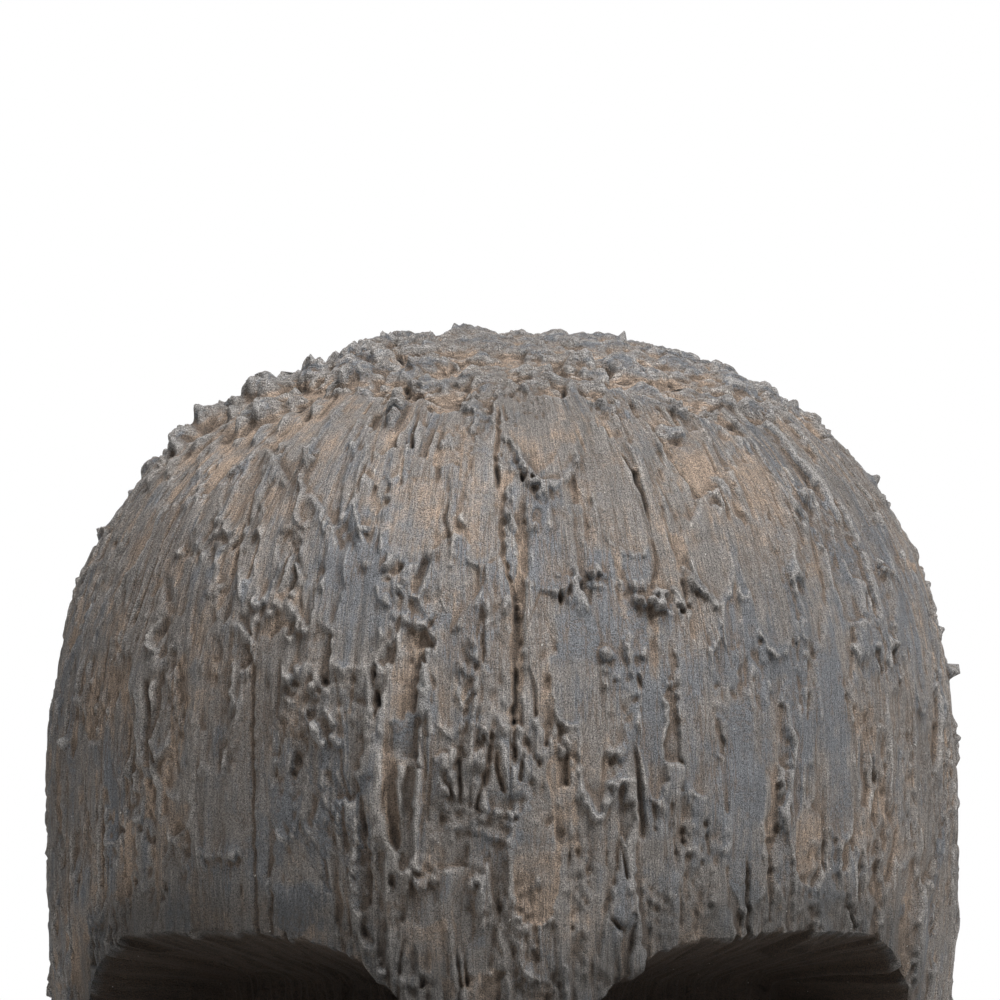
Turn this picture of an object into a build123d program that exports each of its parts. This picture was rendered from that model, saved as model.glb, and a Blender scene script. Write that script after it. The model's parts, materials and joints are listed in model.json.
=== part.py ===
"""Tiki figure, cast as two hollow half shells that are bonded along the sides and closed by a base board.

Units are millimetres. +Z is up, the figure faces -Y, and the origin is on the floor under its middle.
Every outer shape stays inside one upright log, so the plinth and the head are as wide as each other.
"""

import math
import os

from build123d import *

os.makedirs("parts", exist_ok=True)

# ---- driving dimensions ----
figure_height = 1200.0
log_radius = 200.0
wall = 12.0
rim_height = 6.0  # the shell's rim clears the floor by this much
board_underside = 14.0
board_thickness = 18.0
plinth_height = 104.0
leg_core_radius = 112.0
neck_radius = 134.0
neck_height = 704.0
jaw_height = 716.0
widest_height = 983.0  # where the head is as wide as the log
crown_power = 2.85  # how square the dome's shoulders are

brow_height = 944.0
socket_height = 126.0
socket_width = 190.0
socket_turn = 36.8  # degrees from straight ahead to the middle of a socket
socket_depth = 74.0
socket_taper = 17.0
eye_rise = 22.0
nostril_height = 806.0
nose_bottom = 790.0

mouth_middle = 757.0
mouth_width = 176.0
mouth_height = 40.0
lip = 13.0

board_top = board_underside + board_thickness
cavity_radius = log_radius - wall


def dome(shrink):
    """Points from the widest round of the head up to the crown, on a squared ellipse."""
    across = log_radius - shrink
    up = figure_height - widest_height - shrink
    steps = [math.radians(a) for a in (0, 6, 14, 24, 36, 50, 66, 90)]
    return [
        (across * math.cos(a), widest_height + up * math.sin(a) ** (2 / crown_power))
        for a in steps
    ]


def log_core(shrink):
    """The figure without its limbs and features, as a turned solid, offset inwards by shrink."""
    plinth = log_radius - shrink
    plinth_top = plinth_height - shrink
    ankle = leg_core_radius - shrink
    trunk = [(ankle, 290), (138 - shrink, 400), (134 - shrink, 452), (152 - shrink, 540)]
    trunk += [(160 - shrink, 615), (neck_radius + 18 - shrink, 676), (neck_radius - shrink, neck_height)]
    jaw = [(178 - shrink, jaw_height + shrink), (190 - shrink, 765), (192 - shrink, 850)]
    jaw += [(198 - shrink, 930), (plinth, widest_height)]
    with BuildPart() as core:
        with BuildSketch(Plane.XZ):
            with BuildLine():
                Polyline(
                    (0, rim_height),
                    (plinth, rim_height),
                    (plinth, plinth_top - 8),
                    (plinth - 8, plinth_top),
                    (ankle, plinth_top),
                    trunk[0],
                )
                Spline(*trunk)
                Line(trunk[-1], (neck_radius - shrink, jaw_height + shrink))
                Line((neck_radius - shrink, jaw_height + shrink), jaw[0])
                Spline(*jaw, tangents=[(0.6, 1), (0, 1)])
                Spline(*dome(shrink), tangents=[(0, 1), (-1, 0)])
                Line((0, figure_height - shrink), (0, rim_height))
            make_face()
        revolve(axis=Axis.Z)
    return core.part


# Each limb is a run of rounds (x, y, z, radius) on the figure's left, blended into one smooth form.
arm = [(104, 0, 690, 22), (144, 2, 652, 46), (154, 8, 575, 40), (152, 14, 510, 38)]
arm += [(128, -52, 486, 35), (88, -116, 500, 32), (54, -146, 518, 34), (24, -156, 530, 16)]
leg = [(88, 20, 440, 40), (98, -8, 394, 74), (95, -66, 342, 62), (92, -98, 296, 52)]
leg += [(90, -92, 236, 46), (86, -72, 168, 41), (84, -68, 96, 43)]
foot = [(80, -10, 130, 26), (86, -60, 126, 35), (93, -126, 121, 30), (96, -158, 116, 13)]
limbs = [arm, leg, foot]
buttock = (62, 72, 382, 88)
back_of_leg = (74, 50, 50, 62)  # x, y, radius on the plinth, radius under the buttock


def limb(chain, shrink):
    """One limb on both sides of the figure, with its rounds offset inwards by shrink."""
    with BuildPart() as both:
        for side in (1, -1):
            centres = [Vector(side * x, y, z) for x, y, z, _ in chain]
            along = [(end - start).normalized() for start, end in zip(centres, centres[1:])]
            turns = [along[0]]
            turns += [before + after for before, after in zip(along, along[1:])]
            turns += [along[-1]]
            hinge = along[0].cross(along[-1])  # the line the limb bends about
            for centre, turn, (_, _, _, radius) in zip(centres, turns, chain):
                with BuildSketch(Plane(origin=centre, x_dir=hinge, z_dir=turn)):
                    Circle(radius - shrink)
            loft()
    return both.part


def haunches(shrink):
    """The buttocks and the backs of the legs, offset inwards by shrink."""
    x, y, z, radius = buttock
    leg_x, leg_y, low, high = back_of_leg
    with BuildPart() as both:
        for side in (1, -1):
            with Locations((side * x, y, z)):
                Sphere(radius - shrink)
            with Locations((side * leg_x, leg_y, plinth_height - shrink - 10)):
                Cone(low - shrink, high - shrink, 240, align=(Align.CENTER, Align.CENTER, Align.MIN))
    return both.part


def socket_tool(margin):
    """Both eye sockets as solids to take away, larger all round by margin."""
    with BuildPart() as sockets:
        for side in (1, -1):
            turn = math.radians(side * socket_turn)
            outward = Vector(math.sin(turn), -math.cos(turn), 0)
            across = Vector(math.cos(turn), math.sin(turn), 0)
            middle = outward * log_radius + Vector(0, 0, brow_height - socket_height / 2)
            with BuildSketch(Plane(origin=middle, x_dir=across, z_dir=outward)):
                RectangleRounded(socket_width + 2 * margin, socket_height + 2 * margin, 54 + margin)
            extrude(amount=-(socket_depth + margin), taper=socket_taper)
    return sockets.part


def eye_bosses():
    """A low oval eye on the floor of each socket."""
    floor = log_radius - socket_depth
    with BuildPart() as eyes:
        for side in (1, -1):
            turn = math.radians(side * socket_turn)
            outward = Vector(math.sin(turn), -math.cos(turn), 0)
            across = Vector(math.cos(turn), math.sin(turn), 0)
            middle = Vector(0, 0, brow_height - socket_height / 2 - 6)
            with BuildSketch(Plane(origin=outward * (floor - 1) + middle, x_dir=across, z_dir=outward)):
                Ellipse(50, 30)
            with BuildSketch(Plane(origin=outward * (floor + eye_rise) + middle, x_dir=across, z_dir=outward)):
                Ellipse(36, 17)
            loft()
    return eyes.part


def nose():
    """A broad wedge that widens from the brow down to the nostrils."""
    right_side = [(34, brow_height + 3), (38, brow_height - 70), (60, nostril_height), (44, nose_bottom)]
    left_side = [(-x, z) for x, z in reversed(right_side)]
    with BuildPart() as wedge:
        with BuildSketch(Plane.XZ.offset(140)) as outline:
            with BuildLine():
                Polyline(*right_side, *left_side, close=True)
            make_face()
            fillet(outline.vertices().group_by(Axis.Y)[0], 8)
        extrude(amount=54, taper=6)
    return wedge.part


def mouth_block(width, height, reach):
    """A rounded block through the mouth, faced to a round of the given reach."""
    with BuildPart() as block:
        with BuildSketch(Plane.XZ.offset(90)):
            with Locations((0, mouth_middle)):
                RectangleRounded(width, height, height * 0.45)
        extrude(amount=110)
        with Locations((0, 0, mouth_middle)):
            Cylinder(reach, 2 * height, mode=Mode.INTERSECT)
    return block.part


def teeth():
    """Two rows of square carved teeth across the mouth."""
    columns = 8
    pitch = (mouth_width - 8) / columns
    with BuildPart() as rows:
        with BuildSketch(Plane.XZ.offset(120)):
            with Locations((0, mouth_middle)):
                with GridLocations(pitch, mouth_height / 2, columns, 2):
                    RectangleRounded(pitch - 4, mouth_height / 2 - 4, 3)
        extrude(amount=80)
        with Locations((0, 0, mouth_middle)):
            Cylinder(log_radius - 19, 2 * mouth_height, mode=Mode.INTERSECT)
        with Locations((0, 0, mouth_middle)):
            Box(mouth_width - 10, 2 * log_radius, mouth_height - 2, mode=Mode.INTERSECT)
    return rows.part


def ears():
    """A raised oval ring on each side of the head."""
    with BuildPart() as pair:
        for plane in (Plane.YZ.offset(150), Plane.YZ.offset(-150)):
            outward = 50 if plane.origin.X > 0 else -50
            with BuildSketch(plane):
                with Locations((8, 836)):
                    Ellipse(33, 60)
            extrude(amount=outward)
            with BuildSketch(Plane.YZ.offset(plane.origin.X + outward * 0.76)):
                with Locations((4, 836)):
                    Ellipse(17, 40)
            extrude(amount=outward, mode=Mode.SUBTRACT)
        with Locations((0, 0, 836)):
            Cylinder(log_radius - 1, 200, mode=Mode.INTERSECT)
    return pair.part


def filled_figure():
    """The outer shape, solid right through."""
    with BuildPart() as figure:
        add(log_core(0))
        for chain in limbs:
            add(limb(chain, 0))
        add(haunches(0))
        add(ears())
        add(mouth_block(mouth_width + 2 * lip, mouth_height + 2 * lip, log_radius - 6))
        add(socket_tool(0), mode=Mode.SUBTRACT)
        add(nose())
        add(eye_bosses())
        add(mouth_block(mouth_width, mouth_height, log_radius), mode=Mode.SUBTRACT)
        add(mouth_floor())
        add(teeth())
    return figure.part


def mouth_floor():
    """The back of the mouth, between the lips and behind the teeth."""
    return mouth_block(mouth_width + lip, mouth_height + lip, log_radius - 30)


def cavity(shrink):
    """The hollow inside the shells, offset inwards by shrink, and clear of the sockets and the mouth."""
    with BuildPart() as hollow:
        add(log_core(shrink))
        add(limb(leg, shrink))
        add(haunches(shrink))
        add(socket_tool(shrink), mode=Mode.SUBTRACT)
        margin = 2 * (lip + shrink)
        with Locations((0, -log_radius + 15, mouth_middle)):
            Box(mouth_width + margin, 2 * (30 + shrink), mouth_height + margin, mode=Mode.SUBTRACT)
    return hollow.part


# ---- half shells ----
lug_places = [(sx * 70.0, sy * 150.0) for sx in (1, -1) for sy in (1, -1)]
lug_radius = 24.0
lug_bore = 7.0
lug_bore_depth = 42.0

hollow = cavity(wall)

with BuildPart() as shell:
    add(filled_figure())
    add(hollow, mode=Mode.SUBTRACT)
    with BuildSketch(Plane.XY.offset(board_top)):
        with Locations(lug_places):
            Circle(lug_radius)
    extrude(amount=plinth_height - wall - board_top + 2)
    with BuildSketch(Plane.XY.offset(board_top)):
        with Locations(lug_places):
            Circle(lug_bore)
    extrude(amount=lug_bore_depth, mode=Mode.SUBTRACT)

with BuildPart() as front_shell:
    add(shell.part)
    split(bisect_by=Plane.XZ, keep=Keep.TOP)

with BuildPart() as back_shell:
    add(shell.part)
    split(bisect_by=Plane.XZ, keep=Keep.BOTTOM)

# ---- bonded strips over the seam, laminated inside the hollow ----
strip_thickness = 4.0
strip_width = 70.0
strip_foot = plinth_height + 6.0
side_strip_top = 1040.0

with BuildPart() as lining:
    add(hollow)
    add(cavity(wall + strip_thickness), mode=Mode.SUBTRACT)


def seam_strip(low, high, left, right):
    """The lining between two heights and two sides of the figure, as wide as a strip."""
    with BuildPart() as strip:
        add(lining.part)
        with Locations(((left + right) / 2, 0, (low + high) / 2)):
            Box(right - left, strip_width, high - low, mode=Mode.INTERSECT)
    return strip.part


with BuildPart() as seam_strip_left:
    add(seam_strip(strip_foot, side_strip_top, 0, log_radius))

with BuildPart() as seam_strip_right:
    add(seam_strip(strip_foot, side_strip_top, -log_radius, 0))

with BuildPart() as crown_strip:
    add(seam_strip(side_strip_top, figure_height, -log_radius, log_radius))

# ---- base board and the lugs that hold it ----
board_fit = 0.5
bolt_hole = 4.5
anchor_reach = 95.0  # from the middle to each anchor, along X and along Y
anchor_outer = 8.0
foot_places = [(sx * 140.0, sy * 80.0) for sx in (1, -1) for sy in (1, -1)]
foot_pilot = 2.5
drain_place = (0.0, 140.0)
drain_outer = 8.0
ballast_bolt_radius = 6.0

with BuildPart() as base_board:
    with BuildSketch(Plane.XY.offset(board_underside)):
        Circle(cavity_radius - board_fit)
        with Locations(lug_places):
            Circle(bolt_hole, mode=Mode.SUBTRACT)
        with GridLocations(2 * anchor_reach, 2 * anchor_reach, 2, 2):
            Circle(anchor_outer + 0.05, mode=Mode.SUBTRACT)
        with Locations(foot_places):
            Circle(foot_pilot, mode=Mode.SUBTRACT)
        with Locations(drain_place):
            Circle(drain_outer + 0.05, mode=Mode.SUBTRACT)
        Circle(ballast_bolt_radius + 0.5, mode=Mode.SUBTRACT)
    extrude(amount=board_thickness)

lug_insert_bore = 4.1
with BuildPart() as lug_inserts:
    with BuildSketch(Plane.XY.offset(board_top)):
        with Locations(lug_places):
            Circle(lug_bore)
            Circle(lug_insert_bore, mode=Mode.SUBTRACT)
    extrude(amount=lug_bore_depth)

washer_radius = 8.0
washer_thickness = 1.6
bolt_shank = 4.0
bolt_length = 50.0
bolt_head_height = 5.3
bolt_head_across = 7.5
head_top = board_underside - washer_thickness
with BuildPart() as board_washers:
    with BuildSketch(Plane.XY.offset(head_top)):
        with Locations(lug_places):
            Circle(washer_radius)
            Circle(bolt_hole, mode=Mode.SUBTRACT)
    extrude(amount=washer_thickness)

with BuildPart() as board_bolts:
    with BuildSketch(Plane.XY.offset(head_top - bolt_head_height)):
        with Locations(lug_places):
            RegularPolygon(bolt_head_across, 6)
    extrude(amount=bolt_head_height)
    with BuildSketch(Plane.XY.offset(head_top)):
        with Locations(lug_places):
            Circle(bolt_shank)
    extrude(amount=bolt_length)

# ---- anchors: sleeves in the board, open below, for bolting the figure down ----
anchor_bore = 4.25
anchor_flange = 13.0
anchor_flange_thickness = 2.0
with BuildPart() as anchor_inserts:
    with BuildSketch(Plane.XY.offset(board_underside)):
        with GridLocations(2 * anchor_reach, 2 * anchor_reach, 2, 2):
            Circle(anchor_outer)
    extrude(amount=board_thickness)
    with BuildSketch(Plane.XY.offset(board_top)):
        with GridLocations(2 * anchor_reach, 2 * anchor_reach, 2, 2):
            Circle(anchor_flange)
    extrude(amount=anchor_flange_thickness)
    with BuildSketch(Plane.XY.offset(board_underside)):
        with GridLocations(2 * anchor_reach, 2 * anchor_reach, 2, 2):
            Circle(anchor_bore)
    extrude(amount=board_thickness + anchor_flange_thickness, mode=Mode.SUBTRACT)

# ---- rubber feet ----
foot_radius = 25.0
foot_recess = 9.0
foot_recess_depth = 7.5
foot_edge = 2.0
foot_hole = 3.0
with BuildPart() as rubber_feet:
    with BuildSketch():
        with Locations(foot_places):
            Circle(foot_radius)
    extrude(amount=board_underside)
    fillet(rubber_feet.edges().group_by(Axis.Z)[0], foot_edge)
    with BuildSketch():
        with Locations(foot_places):
            Circle(foot_recess)
    extrude(amount=foot_recess_depth, mode=Mode.SUBTRACT)
    with BuildSketch():
        with Locations(foot_places):
            Circle(foot_hole)
    extrude(amount=board_underside, mode=Mode.SUBTRACT)

foot_washer_radius = 8.5
foot_washer_hole = 2.8
foot_washer_thickness = 1.2
screw_head_top = foot_recess_depth - foot_washer_thickness
with BuildPart() as foot_washers:
    with BuildSketch(Plane.XY.offset(screw_head_top)):
        with Locations(foot_places):
            Circle(foot_washer_radius)
            Circle(foot_washer_hole, mode=Mode.SUBTRACT)
    extrude(amount=foot_washer_thickness)

screw_head_radius = 5.0
screw_head_height = 3.2
screw_head_round = 1.4
screw_length = 22.0
with BuildPart() as foot_screws:
    with BuildSketch(Plane.XY.offset(screw_head_top - screw_head_height)):
        with Locations(foot_places):
            Circle(screw_head_radius)
    extrude(amount=screw_head_height)
    fillet(foot_screws.edges().group_by(Axis.Z)[0], screw_head_round)
    with BuildSketch(Plane.XY.offset(screw_head_top)):
        with Locations(foot_places):
            Circle(foot_pilot - 0.05)
    extrude(amount=screw_length)

# ---- drain ----
grommet_flange = 14.0
grommet_flange_thickness = 2.5
grommet_stand = 3.0
drain_bore = 5.5
grommet_bottom = board_underside - grommet_flange_thickness
with BuildPart() as drain_grommet:
    with BuildSketch(Plane.XY.offset(grommet_bottom)):
        with Locations(drain_place):
            Circle(grommet_flange)
    extrude(amount=grommet_flange_thickness)
    with BuildSketch(Plane.XY.offset(board_underside)):
        with Locations(drain_place):
            Circle(drain_outer)
    extrude(amount=board_thickness + grommet_stand)
    with BuildSketch(Plane.XY.offset(grommet_bottom)):
        with Locations(drain_place):
            Circle(drain_bore)
    extrude(amount=grommet_flange_thickness + board_thickness + grommet_stand, mode=Mode.SUBTRACT)

# ---- ballast ----
ballast_radius = 96.0
ballast_height = 66.0
ballast_chamfer = 6.0
ballast_top = board_top + ballast_height
with BuildPart() as ballast_block:
    with BuildSketch(Plane.XY.offset(board_top)):
        Circle(ballast_radius)
        Circle(ballast_bolt_radius + 1, mode=Mode.SUBTRACT)
    extrude(amount=ballast_height)
    chamfer(ballast_block.edges().group_by(Axis.Z)[-1].sort_by(SortBy.RADIUS)[-1], ballast_chamfer)

ballast_washer_radius = 18.0
ballast_washer_thickness = 2.5
with BuildPart() as ballast_washers:
    for height in (board_underside - ballast_washer_thickness, ballast_top):
        with BuildSketch(Plane.XY.offset(height)):
            Circle(ballast_washer_radius)
            Circle(ballast_bolt_radius + 0.4, mode=Mode.SUBTRACT)
        extrude(amount=ballast_washer_thickness)

ballast_head_height = 7.0
ballast_head_across = 10.5
ballast_bolt_stand = 4.0
ballast_head_top = board_underside - ballast_washer_thickness
nut_bottom = ballast_top + ballast_washer_thickness
nut_height = 10.0
with BuildPart() as ballast_bolt:
    with BuildSketch(Plane.XY.offset(ballast_head_top - ballast_head_height)):
        RegularPolygon(ballast_head_across, 6)
    extrude(amount=ballast_head_height)
    with BuildSketch(Plane.XY.offset(ballast_head_top)):
        Circle(ballast_bolt_radius)
    extrude(amount=nut_bottom + nut_height + ballast_bolt_stand - ballast_head_top)

with BuildPart() as ballast_nut:
    with BuildSketch(Plane.XY.offset(nut_bottom)):
        RegularPolygon(ballast_head_across, 6)
        Circle(ballast_bolt_radius + 0.05, mode=Mode.SUBTRACT)
    extrude(amount=nut_height)

# ---- one file for each piece ----
pieces = {
    "front_shell": front_shell,
    "back_shell": back_shell,
    "seam_strip_left": seam_strip_left,
    "seam_strip_right": seam_strip_right,
    "crown_strip": crown_strip,
    "base_board": base_board,
    "lug_inserts": lug_inserts,
    "board_washers": board_washers,
    "board_bolts": board_bolts,
    "anchor_inserts": anchor_inserts,
    "rubber_feet": rubber_feet,
    "foot_washers": foot_washers,
    "foot_screws": foot_screws,
    "drain_grommet": drain_grommet,
    "ballast_block": ballast_block,
    "ballast_washers": ballast_washers,
    "ballast_bolt": ballast_bolt,
    "ballast_nut": ballast_nut,
}
for name, piece in pieces.items():
    piece.part.label = name
    export_step(piece.part, f"parts/{name}.step")
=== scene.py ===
import json
import math

import bpy
import numpy as np
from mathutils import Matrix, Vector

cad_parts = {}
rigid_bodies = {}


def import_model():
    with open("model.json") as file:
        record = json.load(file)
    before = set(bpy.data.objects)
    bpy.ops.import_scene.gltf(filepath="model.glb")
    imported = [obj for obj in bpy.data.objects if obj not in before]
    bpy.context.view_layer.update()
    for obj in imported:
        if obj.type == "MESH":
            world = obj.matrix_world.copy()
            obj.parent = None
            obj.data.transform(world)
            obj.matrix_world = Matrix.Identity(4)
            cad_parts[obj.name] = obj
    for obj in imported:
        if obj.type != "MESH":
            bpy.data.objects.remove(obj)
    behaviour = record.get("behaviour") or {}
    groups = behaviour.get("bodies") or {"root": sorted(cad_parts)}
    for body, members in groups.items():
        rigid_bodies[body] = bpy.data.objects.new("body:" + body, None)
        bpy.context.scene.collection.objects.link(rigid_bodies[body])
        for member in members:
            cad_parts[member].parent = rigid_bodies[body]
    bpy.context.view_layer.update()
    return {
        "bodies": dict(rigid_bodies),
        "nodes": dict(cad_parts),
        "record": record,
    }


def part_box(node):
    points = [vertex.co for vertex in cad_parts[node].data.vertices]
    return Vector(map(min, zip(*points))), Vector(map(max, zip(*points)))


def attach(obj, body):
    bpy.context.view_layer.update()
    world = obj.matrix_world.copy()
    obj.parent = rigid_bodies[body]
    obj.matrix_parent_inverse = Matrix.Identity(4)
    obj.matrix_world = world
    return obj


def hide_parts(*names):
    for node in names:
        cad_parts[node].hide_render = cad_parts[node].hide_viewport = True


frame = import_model()

# Shapes are worked out in millimetres on one net: rows run down the log from the crown, columns round it.
# Column angles start at the back and pass the front, which faces -Y, at the middle.
millimetre = 0.001
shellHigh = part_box("front_shell")[1]
logRadius = shellHigh[0] / millimetre
figureHeight = shellHigh[2] / millimetre

net = {"columns": 1792, "rowStep": 1.0}

core = {
    "rim": 6.0, "plinthTop": 104.0, "ankle": 112.0, "neck": 134.0, "neckTop": 704.0,
    "jaw": 716.0, "widest": 983.0, "crownPower": 2.85, "wornEdge": 1.1,
    "jawSide": [(178, 716), (190, 765), (192, 850), (198, 930), (logRadius, 983)],
    "trunk": [(134, 704), (152, 676), (160, 615), (152, 540), (134, 452), (138, 400), (112, 290)],
}


def smoothThrough(points, steps=24):
    # Hermite blend between neighbours; a slope is half the step from the point before to the point after
    p = np.array(points, float)
    around = np.vstack([2 * p[0] - p[1], p, 2 * p[-1] - p[-2]])
    slope = (around[2:] - around[:-2]) / 2
    t = np.linspace(0, 1, steps, endpoint=False)[None, :, None]
    start, end = p[:-1, None], p[1:, None]
    curve = (2 * t**3 - 3 * t**2 + 1) * start + (t**3 - 2 * t**2 + t) * slope[:-1, None]
    curve = curve + (3 * t**2 - 2 * t**3) * end + (t**3 - t**2) * slope[1:, None]
    return np.vstack([curve.reshape(-1, p.shape[1]), p[-1:]])


def smoothStep(value):
    # 0 below 0, 1 above 1, and 3v^2 - 2v^3 between
    v = np.clip(value, 0, 1)
    return v * v * (3 - 2 * v)


def corePath():
    # the turned log's outline (radius, height) from the crown down to the rim, and where each stretch ends
    a = np.radians(np.linspace(90, 0, 500))
    rise = figureHeight - core["widest"]
    domeHeight = core["widest"] + rise * np.sin(a) ** (2 / core["crownPower"])
    dome = np.column_stack([logRadius * np.cos(a), domeHeight])
    side = smoothThrough(core["jawSide"])[::-1]
    underJaw = np.array([side[-1], (core["neck"], core["jaw"]), (core["neck"], core["neckTop"])], float)
    trunk = np.vstack([smoothThrough(core["trunk"]), (core["ankle"], core["plinthTop"])])
    plinthTop = np.array([trunk[-1], (logRadius - 8, core["plinthTop"])])
    plinthSide = np.array([plinthTop[-1], (logRadius, core["plinthTop"] - 8), (logRadius, core["rim"])])
    stretches = [dome, side, underJaw, trunk, plinthTop, plinthSide]
    path = np.vstack([dome[:1]] + [s[1:] for s in stretches])
    run = np.concatenate([[0], np.cumsum(np.hypot(*np.diff(path, axis=0).T))])
    ends = np.cumsum([len(s) - 1 for s in stretches])
    return path, run, run[ends]


path, pathRun, stretchEnds = corePath()
columns, rowStep = net["columns"], net["rowStep"]
rows = int(pathRun[-1] / rowStep) + 1
run = np.linspace(0, pathRun[-1], rows)
coreRadius = np.interp(run, pathRun, path[:, 0])
coreHeight = np.interp(run, pathRun, path[:, 1])
turn = np.linspace(-math.pi, math.pi, columns, endpoint=False)
turnDegrees = np.degrees(turn)
girth = 2 * math.pi * logRadius
columnStep = girth / columns
jawEnd, neckEnd, trunkEnd, plinthEdge = (int(round(e / pathRun[-1] * (rows - 1))) for e in stretchEnds[1:5])
print("net", rows, "rows of", columns, "columns")


def blur(values, size):
    # Gaussian of that many millimetres, closed round the log
    along = np.fft.fftfreq(rows, rowStep)[:, None]
    across = np.fft.rfftfreq(columns, columnStep)[None, :]
    soften = np.exp(-2 * (math.pi * size) ** 2 * (along**2 + across**2))
    return np.fft.irfft2(np.fft.rfft2(values) * soften, s=values.shape).astype(np.float32)


def roundedBox(x, z, halfWidth, halfHeight, corner):
    # distance outside a rounded rectangle, negative inside it
    qx = np.abs(x) - (halfWidth - corner)
    qz = np.abs(z) - (halfHeight - corner)
    return np.hypot(np.maximum(qx, 0), np.maximum(qz, 0)) + np.minimum(np.maximum(qx, qz), 0) - corner


# Limbs are runs of balls (x, y, z, size) on the figure's left, mirrored to the right.
limbs = {
    "arm": [(104, 0, 690, 22), (144, 2, 652, 46), (154, 8, 575, 40), (152, 14, 510, 38), (128, -52, 486, 35),
            (88, -116, 500, 32), (54, -146, 518, 32), (38, -152, 524, 24)],
    "leg": [(88, 20, 440, 40), (98, -8, 394, 74), (95, -66, 342, 62), (92, -98, 296, 52), (90, -92, 236, 46),
            (86, -72, 168, 41), (84, -68, 96, 43)],
    "foot": [(80, -10, 130, 26), (86, -60, 126, 35), (93, -126, 121, 30), (95, -146, 116, 22)],
    "buttock": [(62, 72, 382, 88), (62, 70, 378, 86)],
    "backOfLeg": [(74, 50, 94, 50), (74, 50, 334, 62)],
}
for digit in range(4):
    limbs[f"finger{digit}"] = [(44, -152, 541 - 12 * digit, 9), (28, -158, 545 - 13 * digit, 8),
                               (12, -160, 546 - 14 * digit, 6)]
    limbs[f"toe{digit}"] = [(76 + 10 * digit, -146, 114, 9),
                            (74 + 11 * digit, -166 + 3 * abs(digit - 1), 111, 7)]


def limbReach(heights, angles):
    # how far out the limbs come at each height and angle: the far side of every ball that the level ray meets
    reach = np.zeros((len(heights), len(angles)))
    for chain in limbs.values():
        balls = smoothThrough(chain, 36)
        for side in (1, -1):
            for x, y, z, size in balls * (side, 1, 1, 1):
                near = np.abs(heights - z) < size
                flat = size**2 - (heights[near, None] - z) ** 2
                out = x * np.sin(angles) - y * np.cos(angles)
                aside = x * np.cos(angles) + y * np.sin(angles)
                hit = flat - aside**2
                ball = np.where(hit > 0, out + np.sqrt(np.maximum(hit, 0)), 0)
                reach[near] = np.maximum(reach[near], ball)
    return reach


face = {
    "browHeight": 944.0, "socketHeight": 126.0, "socketWidth": 190.0, "socketTurn": math.radians(36.8),
    "socketDepth": 74.0, "socketTaper": math.tan(math.radians(17)), "socketCorner": 54.0, "eyeRise": 22.0,
    "noseWidths": ([790, 806, 874, 947], [44, 60, 38, 34]),
    "noseRise": ([786, 800, 812, 880, 947], [0, 7, 9, 5, 0]),
    "mouthMiddle": 757.0, "mouthWidth": 176.0, "mouthHeight": 40.0, "lip": 13.0, "lipRise": 6.0,
    "earMiddle": 836.0, "earRise": 7.0,
}


def carveSocket(reach, side):
    # steps in along each level ray until it leaves the tapered socket or meets its floor, with a low oval eye
    middle = face["browHeight"] - face["socketHeight"] / 2
    rowsHere = np.where(np.abs(coreHeight - middle) < face["socketHeight"] / 2 + 6)[0]
    rowsHere = rowsHere[rowsHere < jawEnd]
    away = turn - side * face["socketTurn"]
    columnsHere = np.where(np.abs(away) < math.radians(36))[0]
    up = (coreHeight[rowsHere] - middle)[None, :, None]
    steps = np.linspace(208, 116, 47)[:, None, None]
    across = steps * np.sin(away[columnsHere])[None, None, :]
    outward = steps * np.cos(away[columnsHere])[None, None, :]
    inset = (logRadius - outward) * face["socketTaper"]
    wall = roundedBox(across, up, face["socketWidth"] / 2 - inset, face["socketHeight"] / 2 - inset,
                      np.maximum(face["socketCorner"] - inset, 4))
    oval = np.hypot(across / 50, (up + 6) / 30)
    eye = face["eyeRise"] * smoothStep((1 - oval) / 0.42) - 3.0 * np.exp(-(((oval - 0.42) / 0.07) ** 2))
    floor = logRadius - face["socketDepth"] + eye - outward
    blocked = np.maximum(wall, floor) > 0
    first = np.argmax(blocked, axis=0)
    first[~blocked.any(axis=0)] = len(steps) - 1
    before = np.maximum(first - 1, 0)[None]
    value = np.maximum(wall, floor)
    outer = np.take_along_axis(value, before, 0)[0]
    inner = np.take_along_axis(value, first[None], 0)[0]
    part = np.clip(-outer / np.maximum(inner - outer, 1e-6), 0, 1)
    depth = steps[before[0], 0, 0] + part * (steps[first, 0, 0] - steps[before[0], 0, 0])
    carved = first > 0
    block = reach[np.ix_(rowsHere, columnsHere)]
    reach[np.ix_(rowsHere, columnsHere)] = np.where(carved, np.minimum(block, depth), block)


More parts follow.
